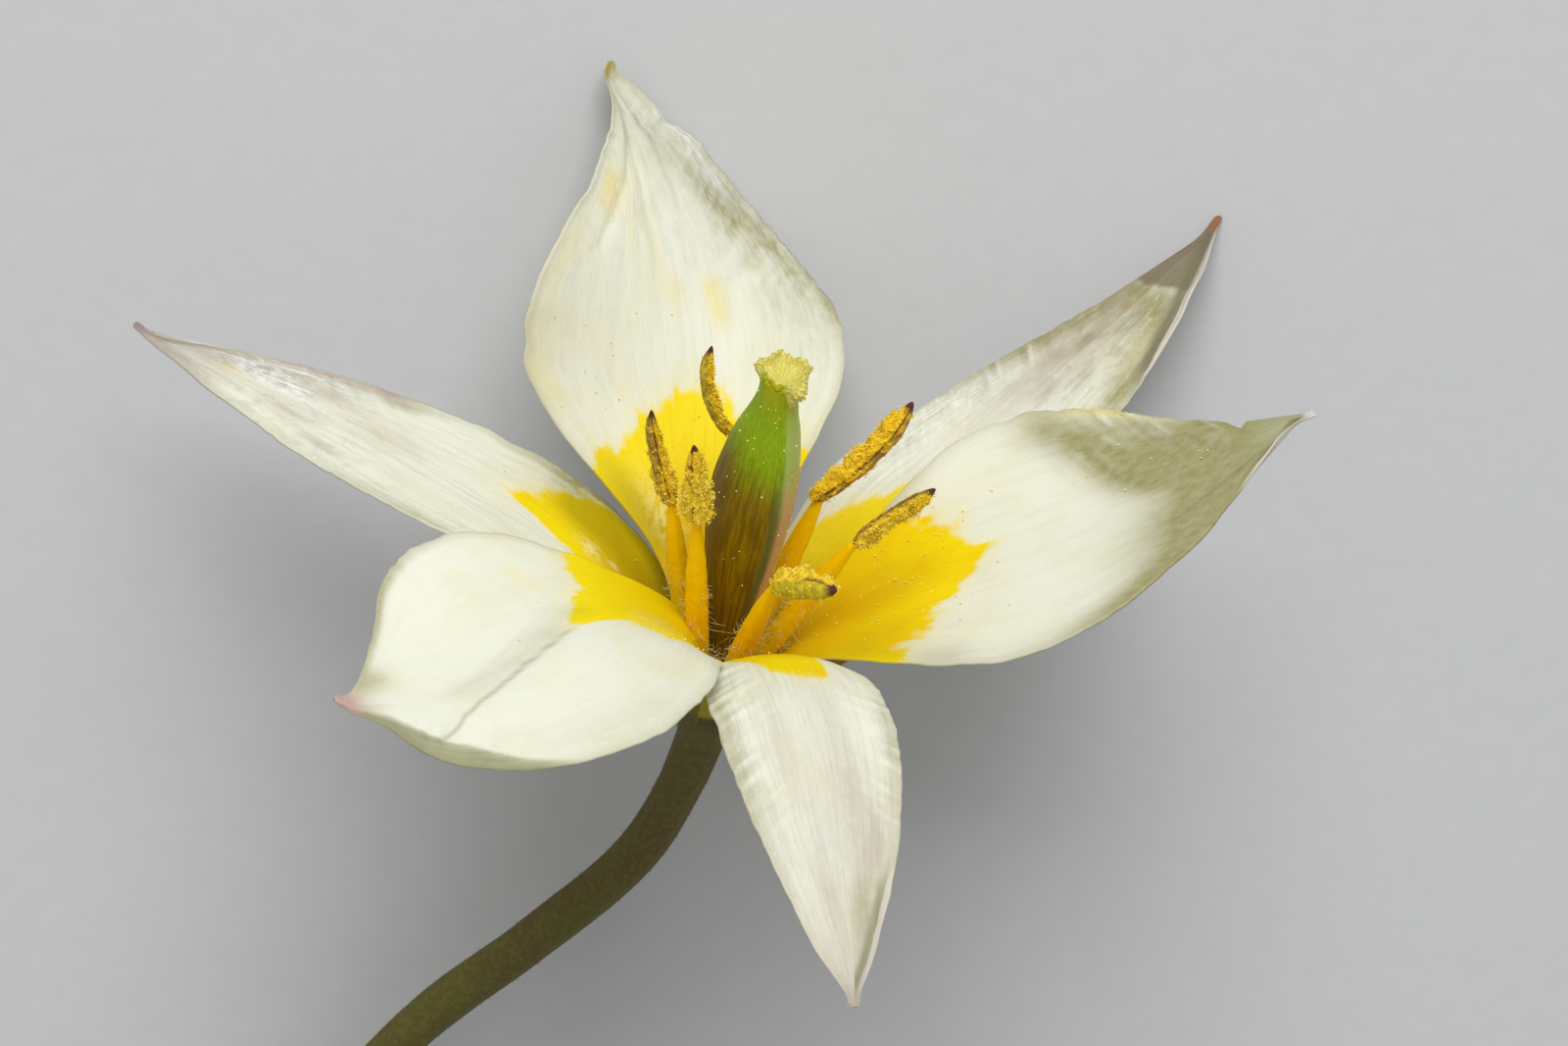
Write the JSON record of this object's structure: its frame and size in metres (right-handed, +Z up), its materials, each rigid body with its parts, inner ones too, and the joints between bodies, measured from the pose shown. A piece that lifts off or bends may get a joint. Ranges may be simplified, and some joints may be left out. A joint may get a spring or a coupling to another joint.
{
  "type": "species tulip flower",
  "caption": "Picked star-shaped species tulip flower with narrow outer and broad inner tepals, stamens, ovary and a bent stem, lying on its back.",
  "frame": {"origin": "centre of the bounding box's bottom face, on the surface that the flower lies on", "axes": "+Z up from the surface; the open face of the flower leans back and looks towards -Y; the cut stem runs down behind it towards +Y"},
  "size_m": [0.045, 0.0542, 0.0342],
  "materials": {
    "tepal": "cream-white petal with a yellow base, fine veins, satin",
    "filament": "orange-yellow, satin",
    "anther": "brown pollen sacs dusted with golden pollen, matte",
    "pistil": "waxy green to olive-brown, pale yellow stigma",
    "stem": "olive-brown, finely hairy"
  },
  "bodies": {
    "root": {"inner_tepal_right": "tepal", "inner_tepal_back": "tepal", "inner_tepal_left": "tepal", "outer_tepal_right": "tepal", "outer_tepal_left": "tepal", "outer_tepal_front": "tepal", "filament_1": "filament", "filament_2": "filament", "filament_3": "filament", "filament_4": "filament", "filament_5": "filament", "filament_6": "filament", "anther_1": "anther", "anther_2": "anther", "anther_3": "anther", "anther_4": "anther", "anther_5": "anther", "anther_6": "anther", "pistil": "pistil", "stem": "stem"}
  },
  "joints": []
}
